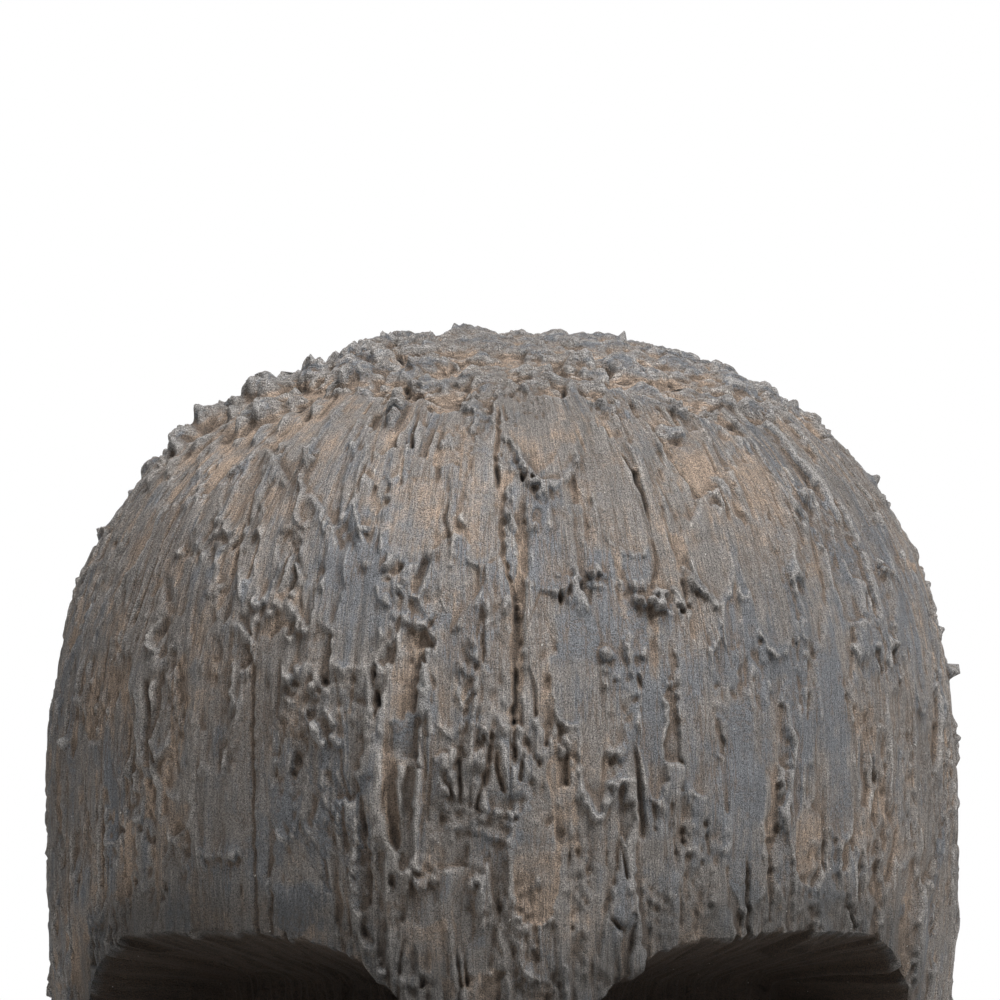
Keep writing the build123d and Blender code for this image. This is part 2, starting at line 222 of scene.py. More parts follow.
def shapeHead(reach):
    level = coreHeight[:jawEnd, None]
    head = reach[:jawEnd]
    for side in (1, -1):
        carveSocket(head, side)
    front = np.abs(turn) < math.radians(60)
    sine, cosine = np.sin(turn[front])[None, :], np.cos(turn[front])[None, :]
    patch = head[:, front]
    # nose: a wedge whose front is flat across and swells towards the tip
    width = np.interp(level, *face["noseWidths"])
    rise = np.interp(level, *face["noseRise"])
    x = 194 * sine / cosine
    nose = (193 + rise - 5 * np.abs(x / width) ** 3) / cosine
    within = smoothStep((width - np.abs(x)) / 5 + 0.5)
    within = within * smoothStep((level - 786) / 6) * smoothStep((952 - level) / 8)
    patch = np.where(within > 0, patch + (np.maximum(nose, patch) - patch) * within, patch)
    nostril = np.hypot((np.abs(x) - 27) / 12, (level - 797) / 6)
    patch = patch - 7 * smoothStep(1.2 - nostril)
    # mouth: a raised ring of lips round a recess with two rows of square teeth
    x = 190 * sine
    z = level - face["mouthMiddle"]
    halfWidth, halfHeight = face["mouthWidth"] / 2, face["mouthHeight"] / 2
    lips = roundedBox(x, z, halfWidth + face["lip"], halfHeight + face["lip"], 28)
    inside = roundedBox(x, z, halfWidth, halfHeight, 17)
    patch = patch + face["lipRise"] * smoothStep(0.5 - lips / 9) * (lips < 6)
    pitch = halfWidth * 2 / 8.4
    toothX = np.abs((x / pitch) % 1 - 0.5) * pitch - (pitch / 2 - 2.6)
    toothZ = np.abs(np.abs(z) - halfHeight / 2) - (halfHeight / 2 - 2.2)
    tooth = smoothStep(0.5 - np.maximum(toothX, toothZ) / 3.0)
    patch = np.where(inside < 2, patch + (170 + 12 * tooth - patch) * smoothStep(0.5 - inside / 4), patch)
    head[:, front] = patch
    # ears: a raised oval ring on each side
    for side in (1, -1):
        beside = np.where(np.abs(turn - side * math.pi / 2) < math.radians(20))[0]
        y = -195 * np.cos(turn[beside])[None, :]
        outer = np.hypot((y - 8) / 33, (level - face["earMiddle"]) / 60)
        hollow = np.hypot((y - 4) / 17, (level - face["earMiddle"]) / 40)
        ring = smoothStep((1.04 - outer) / 0.12) * (1 - 0.85 * smoothStep((1.06 - hollow) / 0.16))
        head[:, beside] += face["earRise"] * ring


def shapeFigure():
    # returns the smooth figure's points and outward normals on the net
    reach = np.repeat(coreRadius[:, None], columns, axis=1)
    heights = np.arange(core["plinthTop"] - 6, core["jaw"] + 6, 2.5)
    angles = turn[::4]
    limb = limbReach(heights, angles)
    trunkRows = np.arange(neckEnd, trunkEnd + 1)
    place = np.clip((coreHeight[trunkRows] - heights[0]) / 2.5, 0, len(heights) - 1.001)
    low, part = place.astype(int), (place % 1)[:, None]
    coarse = limb[low] * (1 - part) + limb[low + 1] * part
    between = np.arange(columns) / 4
    left, blend = between.astype(int), between % 1
    fine = coarse[:, left] * (1 - blend) + coarse[:, (left + 1) % len(angles)] * blend
    reach[trunkRows] = np.maximum(reach[trunkRows], fine)
    navel = np.hypot(turn * 140, coreHeight[:, None] - 462)
    spine = np.abs(np.abs(turn) - math.pi) * 150
    chest = np.hypot((np.abs(turn) * 158 - 52) / 48, (coreHeight[:, None] - 628) / 38)
    trunkOnly = np.zeros(rows)
    trunkOnly[trunkRows] = 1
    trunkOnly = trunkOnly[:, None]
    reach += trunkOnly * (5 * smoothStep(1.3 - chest) - 8 * np.exp(-((navel / 7) ** 2)))
    along = smoothStep((coreHeight[:, None] - 440) / 60) * smoothStep((700 - coreHeight[:, None]) / 60)
    reach -= trunkOnly * 9 * np.exp(-((spine / 9) ** 2)) * along
    shapeHead(reach)
    # the two ledges run from the limbs' outline to their own outer edge
    under = np.linspace(0, 1, neckEnd - jawEnd + 1)[:, None]
    under = np.minimum(under * (1 + (core["jaw"] - core["neckTop"]) / 44), 1)
    reach[jawEnd:neckEnd + 1] = reach[jawEnd] * (1 - under) + reach[neckEnd] * under
    over = np.linspace(0, 1, plinthEdge - trunkEnd + 1)[:, None]
    reach[trunkEnd:plinthEdge + 1] = reach[trunkEnd] * (1 - over) + reach[plinthEdge] * over
    level = np.repeat(coreHeight[:, None], columns, axis=1)
    softReach, softLevel = blur(reach, core["wornEdge"]), blur(level, core["wornEdge"])
    keep = smoothStep((run - 300) / 60) * smoothStep((run[-1] - run) / 12)
    reach += (softReach - reach) * keep[:, None]
    level += (softLevel - level) * keep[:, None]
    points = np.stack([reach * np.sin(turn), -reach * np.cos(turn), level], axis=-1)
    down = np.gradient(points, axis=0)
    aside = np.roll(points, -1, axis=1) - np.roll(points, 1, axis=1)
    normals = np.cross(down, aside)
    normals[0] = (0, 0, 1)
    normals /= np.maximum(np.linalg.norm(normals, axis=2, keepdims=True), 1e-9)
    return points.astype(np.float32), normals.astype(np.float32)


points, normals = shapeFigure()
print("smooth figure shaped")

# Carving marks: a height (millimetres) and a tone (-1 tan and bare, +1 slate paint) at each place on the net.
chance = np.random.default_rng(41)
relief = np.zeros((rows, columns), np.float32)
tone = np.zeros((rows, columns), np.float32)


def netNoise(acrossSize, alongSize):
    # random values at the knots of a wide net, blended smoothly between them and closed round the log
    knotsRound = max(5, round(girth / acrossSize))
    knotsDown = int(rows * rowStep / alongSize) + 3
    knots = chance.normal(size=(knotsDown, knotsRound)).astype(np.float32)
    c = np.arange(columns) * knotsRound / columns
    r = np.arange(rows) * rowStep / alongSize
    ci, ri = c.astype(int), r.astype(int)
    cf, rf = smoothStep(c - ci).astype(np.float32), smoothStep(r - ri).astype(np.float32)[:, None]
    wide = knots[:, ci] * (1 - cf) + knots[:, (ci + 1) % knotsRound] * cf
    return wide[ri] * (1 - rf) + wide[ri + 1] * rf


fibre = 0.6 * netNoise(1.7, 34) + 0.5 * netNoise(3.2, 50) + 0.4 * netNoise(1.5, 9)
# thin splits that wander down the grain, where a broad noise passes zero
fibre -= 1.1 * np.exp(-((netNoise(8, 60) / 0.08) ** 2))
ragged = netNoise(2.4, 3.0)
drift = netNoise(9, 11)
relief += 1.5 * netNoise(40, 55) + 0.8 * netNoise(9, 60) + 0.3 * fibre
tone += 0.5 * netNoise(30, 60)


def stroke(angle, start, length, width, depth, lean=0.0, lip=0.7, bow=0.4, paint=0.0, edge=1.0, rim=0.25,
           keep=0.55, tilt=0.0, point=2.0):
    # One pull of the gouge down the log: a floor that deepens as it goes, with sharp sides, thin rims and a
    # pushed-up lip at its bowed lower end. angle is in degrees from the front, the rest in millimetres.
    row = min(int((start + length / 2) / rowStep), rows - 1)
    half = width / 2 * min(logRadius / max(coreRadius[row], 60), 2.2)
    middle = math.radians(angle) * logRadius + girth / 2
    margin = half * 1.5 + abs(lean) * length + 4
    top, bottom = max(int((start - 3) / rowStep), 0), min(int((start + length + 9) / rowStep), rows)
    left, right = int((middle - margin) / columnStep), int((middle + margin) / columnStep) + 1
    if bottom - top < 3:
        return
    here = np.ix_(np.arange(top, bottom), np.arange(left, right) % columns)
    along = (np.arange(top, bottom) * rowStep - start)[:, None]
    rough, wander = ragged[here], drift[here]
    wavy = min(half / 4, 1.3)
    across = (np.arange(left, right) * columnStep - middle)[None, :] - lean * along
    across = (across + wavy * (0.9 * wander + 0.4 * rough)) / half
    end = length - bow * width * np.abs(across) ** point + 1.4 * wavy * wander + 0.8 * rough
    sides = smoothStep((1 - np.abs(across)) * half / edge)
    mask = sides * smoothStep(along / (0.2 * length)) * smoothStep((end - along) / edge)
    old = relief[here]
    travelled = np.clip(along / length, 0, 1)
    shift = chance.integers(0, columns)
    grain = fibre[np.ix_(np.arange(top, bottom), np.arange(left + shift, right + shift) % columns)]
    floor = old.mean() * keep - depth * (0.3 + 0.7 * travelled**1.5 - 0.3 * across**2 - tilt * across)
    floor = floor + 0.27 * grain + 0.08 * rough
    past = along - end
    ridge = lip * np.exp(-((past + 0.5) / np.where(past > -0.5, 1.0 + 0.25 * lip, 2.2 + lip)) ** 2)
    ridge = ridge * np.clip(0.85 + 0.4 * wander, 0.1, 1.5) * (1 + 0.25 * rough)
    ridge = ridge * smoothStep((1.08 - np.abs(across)) * half / 1.8)
    burr = rim * np.exp(-(((np.abs(across) - 1) * half / 0.8) ** 2)) * smoothStep(along / (0.3 * length))
    burr = burr * (past < 0) * np.clip(0.3 + wander, 0, 1.5)
    relief[here] = old + (floor - old) * mask + ridge + burr
    tone[here] += (paint + 0.25 - 0.7 * across**2 - tone[here]) * mask


def lump(angle, place, size, height, stretch=1.0, spin=0.0, broken=1.0):
    # a chip or pellet that stands on the surface: a blunt pyramid with a broken outline
    middle = math.radians(angle) * logRadius + girth / 2
    reach = size * max(stretch, 1.0) * 1.25
    top, bottom = int((place - reach) / rowStep), int((place + reach) / rowStep) + 2
    left, right = int((middle - reach) / columnStep), int((middle + reach) / columnStep) + 2
    top, bottom = max(top, 0), min(bottom, rows)
    if bottom - top < 2:
        return
    here = np.ix_(np.arange(top, bottom), np.arange(left, right) % columns)
    along = (np.arange(top, bottom) * rowStep - place)[:, None]
    across = (np.arange(left, right) * columnStep - middle)[None, :]
    a = (along * math.cos(spin) + across * math.sin(spin)) / (size * stretch)
    b = (across * math.cos(spin) - along * math.sin(spin)) / size
    rough = ragged[here] * broken
    rise = np.clip(1.15 - np.abs(a) ** 1.6 - np.abs(b) ** 1.6 + 0.4 * rough, 0, 1) ** 0.7
    relief[here] += height * rise * (1 + 0.3 * rough)


carving = {
    "top": 112.0,
    "broad": {"count": 2500, "length": (22, 75), "width": (9, 24), "depth": (0.9, 2.7), "lean": 0.15,
              "lip": 1.3, "bow": (-0.1, 0.9), "edge": 1.5, "rim": 0.15, "keep": 0.5},
    "strip": {"count": 5400, "length": (12, 64), "width": (3, 9), "depth": (0.9, 3.1), "lean": 0.09,
              "lip": 1.0, "bow": (0, 1.2), "edge": 1.0, "rim": 0.25, "keep": 0.55},
    "flake": {"count": 3600, "length": (4, 13), "width": (3, 8), "depth": (0.8, 2.5), "lean": 0.5,
              "lip": 1.2, "bow": (-0.4, 0.9), "edge": 0.9, "rim": 0.25, "keep": 0.8},
    "nick": {"count": 2800, "length": (10, 42), "width": (1.2, 2.6), "depth": (0.7, 2.1), "lean": 0.12},
    "crumb": {"clusters": 425, "each": 8, "size": (0.9, 2.6), "spread": (2.2, 4)},
}


def carveAll():
    length = run[-1] - carving["top"]
    jobs = sum(([kind] * carving[kind]["count"] for kind in ("broad", "strip", "flake")), [])
    chance.shuffle(jobs)
    for job in jobs:
        kind = carving[job]
        angle = chance.uniform(-180, 180)
        start = carving["top"] - 20 + length * chance.random()
        paint = np.clip(chance.normal(0.0, 0.6), -1, 1)
        tilt = chance.normal(0, 0.5)
        lip = max(chance.normal(0.2, 0.9), 0)
        point = chance.choice([1.0, 1.4, 2.0, 3.0])
        stroke(angle, start, chance.uniform(*kind["length"]), chance.uniform(*kind["width"]),
               chance.uniform(*kind["depth"]), chance.normal(0, kind["lean"]), lip * kind["lip"],
               chance.uniform(*kind["bow"]), paint, kind["edge"], kind["rim"], kind["keep"], tilt, point)
    nick = carving["nick"]
    for _ in range(nick["count"]):
        stroke(chance.uniform(-180, 180), carving["top"] + length * chance.random(),
               chance.uniform(*nick["length"]), chance.uniform(*nick["width"]),
               chance.uniform(*nick["depth"]), chance.normal(0, nick["lean"]),
               lip=0.3, paint=-0.8, edge=0.9, rim=0.2, keep=1.0)
    # crumbs gather in clusters, as torn fibre does
    crumb = carving["crumb"]
    aside, along = crumb["spread"]
    for _ in range(crumb["clusters"]):
        angle, place = chance.uniform(-180, 180), carving["top"] + length * chance.random()
        for _ in range(crumb["each"]):
            size = chance.uniform(*crumb["size"])
            lump(angle + chance.normal(0, aside), place + chance.normal(0, along), size,
                 size * chance.uniform(0.3, 0.8), chance.uniform(0.8, 2.2), chance.uniform(-0.7, 0.7))


carveAll()
# crusty patches, where the face of the casting is sandy and broken
crusty = smoothStep(0.35 + 0.9 * netNoise(11, 19))
relief += crusty * (0.42 * netNoise(2.0, 2.6) + 0.3 * netNoise(3.6, 5) - 0.5 * np.abs(netNoise(5, 8)))
print("carving marks cut")


def planNoise(size, knotSize):
    knots = chance.normal(size=(int(size / knotSize) + 3,) * 2)
    place = np.arange(size) / knotSize
    low, part = place.astype(int), smoothStep(place % 1)
    wide = knots[low] * (1 - part[:, None]) + knots[low + 1] * part[:, None]
    return wide[:, low] * (1 - part) + wide[:, low + 1] * part


crown = {
    "step": 0.75, "half": 195.0, "gap": -2.9, "sink": 4.0, "reach": 190, "bare": 0.4,
    "blob": {"count": 1300, "width": (3.8, 9.5), "height": (0.42, 0.88)},
    "crumb": {"count": 7000, "width": (1.1, 3.2), "height": (0.4, 0.8)},
    "bulk": ([-180, -95, -60, -38, -20, 40, 180], [1.0, 1.2, 1.5, 1.3, 0.85, 0.9, 1.0]),
    "edge": ([-180, -75, -48, -20, 20, 60, 90, 180], [150, 168, 128, 128, 132, 148, 160, 150]),
}


def crownLumps():
    # the torn end of the log, as heights and tones on a flat plan that wraps over the dome from its top
    step, half = crown["step"], crown["half"]
    size = int(2 * half / step)
    plan = np.full((size, size), crown["gap"]) + 0.5 * planNoise(size, 16)
    for kind in ("blob", "crumb"):
        for _ in range(crown[kind]["count"]):
            x, y = chance.uniform(-half, half, 2)
            wide = chance.uniform(*crown[kind]["width"])
            longWay = wide * chance.uniform(1.0, 2.2)
            height = wide * chance.uniform(*crown[kind]["height"])
            lean = chance.normal(0, 0.45)
            i0, i1 = (int((x + d + half) / step) for d in (-longWay, longWay + step))
            j0, j1 = (int((y + d + half) / step) for d in (-longWay, longWay + step))
            i0, j0, i1, j1 = max(i0, 0), max(j0, 0), min(i1, size), min(j1, size)
            if i1 - i0 < 2 or j1 - j0 < 2:
                continue
            px = (np.arange(i0, i1) * step - half - x)[:, None]
            py = (np.arange(j0, j1) * step - half - y)[None, :]
            a = (px * math.cos(lean) + py * math.sin(lean)) / longWay
            b = (py * math.cos(lean) - px * math.sin(lean)) / wide
            dome = np.clip(1.1 - np.abs(a) ** 1.6 - np.abs(b) ** 1.6, 0, 1) ** 0.6 * height * (1 + 0.55 * b)
            block = plan[i0:i1, j0:j1]
            if kind == "blob":
                plan[i0:i1, j0:j1] = np.maximum(block, np.where(dome > 0, crown["gap"] + 0.9 + dome, -9))
            else:
                plan[i0:i1, j0:j1] = block + dome
    # pulled out of true, then roughened
    place = np.arange(size)
    i = (place[:, None] + 2.6 * planNoise(size, 7) + 2.8 * planNoise(size, 18)).astype(int) % size
    j = (place[None, :] + 2.6 * planNoise(size, 7) + 2.8 * planNoise(size, 18)).astype(int) % size
    plan = plan[i, j] + 0.42 * planNoise(size, 3.4) + 0.25 * planNoise(size, 1.9)
    plan = plan - 0.5 * np.abs(planNoise(size, 9))
    planTone = 0.35 * planNoise(size, 12) + 0.25 * planNoise(size, 5)
    return plan, planTone + np.clip((plan - plan.mean()) * 0.3, -0.7, 0.8)


def layCrown():
    plan, planTone = crownLumps()
    reachRows = int(crown["reach"] / rowStep)
    out = run[:reachRows, None]
    px = (out * np.sin(turn) + crown["half"]) / crown["step"]
    py = (-out * np.cos(turn) + crown["half"]) / crown["step"]
    i, j = np.clip(px.astype(int), 0, len(plan) - 2), np.clip(py.astype(int), 0, len(plan) - 2)
    fi, fj = np.clip(px - i, 0, 1), np.clip(py - j, 0, 1)
    lumps = (plan[i, j] * (1 - fi) + plan[i + 1, j] * fi) * (1 - fj)
    lumps += (plan[i, j + 1] * (1 - fi) + plan[i + 1, j + 1] * fi) * fj
    edge = np.interp(turnDegrees, *crown["edge"])[None, :] + 14 * blur(netNoise(14, 14), 2)[:reachRows]
    torn = smoothStep((edge - out) / 5 + 0.5)
    size = np.interp(out, [0, 90, 125], [0.6, 1.0, 1.15]) * np.interp(turnDegrees, *crown["bulk"])
    relief[:reachRows] += (lumps * size - crown["sink"] - relief[:reachRows]) * torn
    tone[:reachRows] += (planTone[i, j] - crown["bare"] - tone[:reachRows]) * torn
    tornAll = np.zeros((rows, columns), np.float32)
    tornAll[:reachRows] = torn
    return tornAll


torn = layCrown()
print("crown laid")

# the marks that give this head its own look, over the random ones
markedStrokes = [
    # angle, start, length, width, depth, lean, lip, bow, paint
    (-52, 128, 60, 10, 2.6, 0.10, 0.6, 0.5, -0.3),
    (-60, 140, 52, 9, 2.4, 0.06, 0.8, 0.6, -0.2),
    (-68, 150, 56, 9, 2.2, 0.0, 0.5, 0.5, 0.0),
    (-36, 132, 60, 12, 1.7, 0.10, 0.4, 0.3, 0.1),
    (-30.5, 134, 62, 9, 2.0, 0.12, 0.3, 0.4, -0.1),
    (-25.5, 158, 47, 19, 2.6, 0.10, 1.4, 0.9, 0.2),
    (-34, 178, 30, 14, 1.4, 0.15, 1.6, 0.2, -0.6),
    (-26.5, 204, 46, 9, 2.4, 0.10, 1.7, 0.9, -0.3),
    (-22, 208, 40, 9, 1.4, 0.05, 0.6, 0.6, 0.5),
    (6, 146, 32, 24, 2.2, 0.0, 1.5, 0.9, -0.1),
    (6, 202, 31, 22, 1.5, 0.0, 1.6, 0.2, 0.8),
    (29, 204, 34, 20, 1.6, 0.03, 1.0, 0.9, 0.0),
    (-31, 262, 130, 16, 1.6, 0.0, 0.4, 0.1, -0.2),
    (-36, 305, 40, 25, 1.7, 0.0, 1.6, 0.05, 0.3),
    (-37, 346, 34, 27, 2.2, 0.0, 0.8, 0.05, -0.1),
    (-12.5, 176, 48, 24, 1.7, 0.03, 2.4, 0.45, 0.0),
    (-18, 206, 60, 20, 0.9, 0.02, 0.4, 0.3, 0.9),
    (9, 236, 52, 18, 0.8, 0.0, 0.5, 0.4, 0.9),
    (13, 205, 66, 13, 1.0, 0.02, 0.8, 0.4, 0.2),
    (-26, 352, 26, 22, 0.9, 0.0, 0.3, 0.3, 1.0),
    (8, 138, 44, 26, 1.9, -0.02, 1.9, 0.6, -0.1),
    (17, 150, 34, 15, 1.2, 0.05, 1.2, 0.7, 0.1),
    (16, 158, 60, 20, 1.1, 0.12, 0.9, 0.5, -0.2),
    (21, 172, 70, 12, 1.5, 0.05, 1.2, 0.5, -0.2),
    (11, 252, 74, 12, 1.4, 0.03, 1.6, 0.8, 0.3),
    (18.5, 262, 60, 11, 1.6, 0.0, 1.7, 0.9, 0.6),
    (24, 250, 70, 16, 1.0, 0.03, 0.6, 0.4, 0.4),
    (-13, 296, 44, 6, 2.4, 0.06, 0.6, 0.5, -0.6),
    (-20, 336, 38, 5, 2.3, 0.05, 0.6, 0.5, -0.6),
    (-43, 150, 56, 9, 2.0, 0.16, 1.3, 0.5, -0.3),
    (-34, 186, 52, 8, 1.9, 0.14, 1.5, 0.5, -0.2),
    (-26, 226, 24, 6, 1.8, 0.2, 1.6, 0.5, -0.2),
    (-29, 130, 72, 13, 1.5, 0.06, 1.0, 0.4, -0.1),
    (-52, 336, 28, 5, 1.6, 0.0, 0.5, 0.3, -1.0),
    (31, 300, 66, 18, 1.0, 0.0, 0.6, 0.4, 0.7),
    (45, 250, 90, 17, 1.2, 0.03, 0.8, 0.4, 0.5),
    (36, 200, 60, 19, 1.3, 0.05, 1.0, 0.5, 0.0),
    (-2.5, 150, 70, 10, 1.0, 0.0, 0.7, 0.4, 0.2),
    (-6, 248, 46, 11, 1.2, 0.02, 1.0, 0.5, 0.4),
]
for angle, start, length, width, depth, lean, lip, bow, paint in markedStrokes:
    stroke(angle, start, length, width, depth * 1.2, lean, lip * 1.7, bow, paint)


def groove(spots, width, depth, paint=-1.0, fade=14, flap=0):
    # a narrow check, or a ridge where depth is negative, through spots of (angle, distance from the crown);
    # a flap falls away gently to one side, 1 for the right and -1 for the left
    line = smoothThrough(spots, 40)
    middle = np.interp(run, line[:, 1], line[:, 0], left=np.nan, right=np.nan)
    here = np.where(~np.isnan(middle))[0]
    off = (turnDegrees[None, :] - middle[here, None]) * math.pi / 180 * coreRadius[here, None]
    off = off + 0.4 * ragged[here]
    ends = smoothStep((run[here] - line[0, 1]) / fade) * smoothStep((line[-1, 1] - run[here]) / fade)
    spread = np.where(off * flap > 0, 4.0, 1.0 if flap == 0 else 0.6) * width
    shape = np.exp(-np.abs(off / spread) ** (3 if flap == 0 else 1.5)) * ends[:, None]
    relief[here] -= depth * shape
    tone[here] += (paint - tone[here]) * np.clip(shape * 1.4, 0, 1)


# lifted edges of the torn V shapes: spots, width, height, flap
for line, width, height, flap in (
        ([(-29.5, 184), (-26, 194), (-22.9, 205)], 1.3, 2.0, -1),
        ([(-23.6, 160), (-23.9, 180), (-22.6, 203)], 1.2, 1.3, 1),
        ([(-43.4, 157), (-38, 168), (-32.8, 184)], 1.8, 2.3, -1),
        ([(-28.3, 235), (-26.6, 242), (-24.4, 250)], 1.3, 2.2, -1),
        ([(-24.0, 222), (-24.0, 236), (-24.2, 250)], 1.0, 1.4, 1),
        ([(-35.5, 244), (-33.6, 250), (-31.6, 258)], 1.3, 2.2, -1),
        ([(2.7, 169), (4.2, 174), (5.7, 178)], 1.5, 2.0, -1),
        ([(10.7, 157), (9, 166), (6, 178)], 1.4, 1.4, 1),
        ([(4.4, 180), (6, 188), (8.2, 197)], 1.7, 2.2, 1),
        ([(24.9, 221), (26.4, 228), (28.2, 237)], 1.1, 1.3, -1),
        ([(-47, 176), (-45, 190), (-42, 203)], 1.2, 1.4, -1),
        ([(-38, 206), (-37, 220), (-34.8, 240)], 1.2, 1.5, 1),
        ([(33, 176), (35, 190), (38, 206)], 1.2, 1.4, 1),
        ([(42, 220), (43, 236), (43.5, 262)], 1.3, 1.4, -1)):
    groove(line, width, -height, 0.2, 5, flap)
# checks: spots, width, depth, then tone and the length over which the ends fade where they differ
for line, *cut in (
        ([(-0.3, 124), (-0.4, 150), (-0.6, 172), (0.2, 190)], 0.9, 1.9),
        ([(0.6, 184), (0.2, 200), (0.6, 218), (1.8, 236), (1.9, 252)], 1.1, 1.8),
        ([(2.6, 184), (2.9, 215), (2.2, 245), (2.0, 280)], 2.6, 2.2, -1.0),
        ([(2.0, 262), (1.7, 284), (1.8, 312)], 0.9, 2.2),
        ([(-34.5, 252), (-32, 263), (-31.2, 300), (-31.0, 345), (-30.6, 392)], 0.9, 1.8, -0.6),
        ([(-28.5, 350), (-28.8, 380)], 1.0, 2.6, -0.7),
        ([(19.5, 160), (20.7, 173), (21.1, 186), (21.2, 202)], 0.9, 2.8, -0.7, 8),
        ([(20.9, 206), (20.9, 220), (19, 236)], 0.8, 2.2, -0.7, 8),
        ([(31, 340), (31.5, 392)], 0.8, 2.2, -0.5)):
    groove(line, *cut)

markedLumps = [
    # angle, distance from the crown, size, height, stretch
    (13.2, 260, 3.0, 2.4, 1.0), (13.0, 266, 2.0, 1.2, 1.0), (4.2, 181, 5.0, 2.6, 0.8),
    (6.0, 188, 3.0, 2.2, 1.6), (-70, 300, 3.5, 2.6, 1.2), (72, 278, 3.4, 1.5, 1.5),
    (-19, 204, 3.0, 1.8, 0.5), (-17.5, 221, 4.0, 1.4, 0.5),
]
for mark in markedLumps:
    lump(*mark)
for _ in range(26):
    for angle, place, aside, along, size, height in ((20.5, 236, 2.0, 2.6, (1.6, 3.8), (0.9, 2.0)),
                                                     (12, 225, 1.7, 2.5, (0.9, 2.0), (0.7, 1.5))):
        lump(angle + chance.normal(0, aside), place + chance.normal(0, along), chance.uniform(*size),
             chance.uniform(*height))
# big knobs of torn wood on the upper left edge
knobs = [
    (-74, 112, 7), (-72, 130, 6), (-88, 133, 6), (-44.6, 138, 6), (-60.6, 152, 5), (-68.6, 168, 5),
    (-49, 146, 5), (-55, 126, 8), (-49, 119, 7), (-61, 160, 4), (-74, 174, 4), (-82, 152, 5),
    (-64, 122, 7), (-80, 118, 6), (-58, 139, 6), (-66, 142, 6), (-40, 128, 5), (-95, 150, 5),
]
for angle, place, size in knobs:
    lump(angle, place, size * 1.2, size * 0.62, 1.3, 0.5, 0.3)
    lump(angle + 2, place + 5, size * 0.8, size * 0.45, 1.2, -0.4, 0.3)
for _ in range(20):
    lump(-58 + chance.normal(0, 10), 140 + chance.normal(0, 14), chance.uniform(2.0, 4.0),
         chance.uniform(1.0, 2.2), chance.uniform(1, 1.8), chance.normal(0, 0.5))


def near(angle, place, wide, tall, power=2):
    # 1 at one place, falling away over so many degrees round and millimetres along the log
    across, along = (turnDegrees[None, :] - angle) / wide, (run[:, None] - place) / tall
    return np.exp(-(across ** power) - along ** power)





# there the wood is rounded and sandy
knobby = near(-64, 136, 25, 26)
relief += (blur(relief, 1.6) - relief) * np.clip(knobby * 1.6, 0, 0.9) - 5.6 * knobby
tone += (-0.95 - tone) * np.clip(knobby * 1.7, 0, 0.95)


def hatch():
    # crossed scratches in the slate patch left of the middle
    for _ in range(46):
        angle, place = chance.uniform(-29, -19), chance.uniform(300, 352)
        stroke(angle, place, chance.uniform(10, 24), chance.uniform(0.9, 1.8), chance.uniform(0.3, 0.8),
               chance.uniform(0.5, 1.1), lip=0.1, paint=0.6, rim=0.1, keep=1.0)


hatch()
# the log is a little flat on its upper left and full on its right
for rise, *where in ((-3.2, -78, 235, 34, 95), (-2.4, -78, 95, 40, 45), (3.4, 68, 130, 36, 75)):
    relief += rise * near(*where)
# the shoulder of the dome
relief -= 1.4 * np.exp(-(((run[:, None] - 88) / 32) ** 2))
# where the slate wash lies thicker, and thinner
for wash, *where in (
        (1.2, -24, 325, 8, 27), (1.1, 13, 242, 5, 26), (1.3, 38, 275, 10, 50), (1.0, -19, 226, 6, 22),
        (0.8, 58, 235, 12, 45), (1.0, 27, 335, 7, 30), (0.7, -2, 330, 6, 24), (1.0, -33, 345, 6, 16),
        (0.9, 5, 195, 6, 16), (0.8, 20, 290, 5, 34), (-0.5, -50, 255, 12, 40), (-0.6, -8, 180, 7, 30),
        (-0.6, 32, 190, 10, 26), (-0.4, -58, 190, 16, 30)):
    tone += wash * near(*where, 4)
relief = np.clip(blur(relief, 0.4) - 0.95, -9, 3.2 + 1.3 * torn + 3.5 * knobby)
hollow = np.maximum(coreRadius[:, None] - np.hypot(points[..., 0], points[..., 1]), 0)
hollow = hollow * (np.arange(rows) < jawEnd)[:, None]
# painted shade: darker in the eye sockets and other hollows of the face, and in a band across the front 402
# mm down from the crown, below the brow, where the light from above falls away
paintedShade = blur(np.minimum(hollow, 20), 20.0)
paintedShade += 2.6 * np.exp(-(((run[:, None] - 402) / 32) ** 2) - (turnDegrees[None, :] / 60) ** 4)
fineRelief = relief - blur(relief, 2.2)
broadRelief = relief - blur(relief, 9.0)
print("relief from", round(float(relief.min()), 1), "to", round(float(relief.max()), 1))

outer = points + normals * relief[..., None]


def netNormals(spots):
    # from the slopes down and round the net, closed round the log
    across = np.roll(spots, -1, axis=1) - np.roll(spots, 1, axis=1)
    found = np.cross(np.gradient(spots, axis=0), across)
    found[0] = (0, 0, 1)
    return found / np.maximum(np.linalg.norm(found, axis=2, keepdims=True), 1e-9)


outerNormals = netNormals(outer)


def makeInnerWall():
    # one wall inside the nearest-in part of the surface round each point, so that wide faces stay inside too
    tangent = np.gradient(np.stack([coreRadius, coreHeight]), axis=1)
    tangent /= np.hypot(*tangent)
    nearest = np.hypot(outer[..., 0], outer[..., 1])
    for reach, axis in ((24, 0), (34, 1)):
        for step in (reach // 4, reach // 4, reach // 4, reach - 3 * (reach // 4)):
            ends = [np.roll(nearest, step, axis), np.roll(nearest, -step, axis)]
            if axis == 0:
                ends[0][:step], ends[1][-step:] = nearest[:step], nearest[-step:]
            nearest = np.minimum(nearest, np.minimum(*ends))
    radius = np.maximum(nearest - wall * np.maximum(-tangent[1], 0.6)[:, None], 0)
    level = np.repeat((coreHeight - wall * tangent[0])[:, None], columns, axis=1)
    return np.stack([radius * np.sin(turn), -radius * np.cos(turn), level], axis=-1)


wall = 11.0
innerWall = makeInnerWall()


def plainRows(first, last, step):
    return list(range(first, last, step)) + [last]


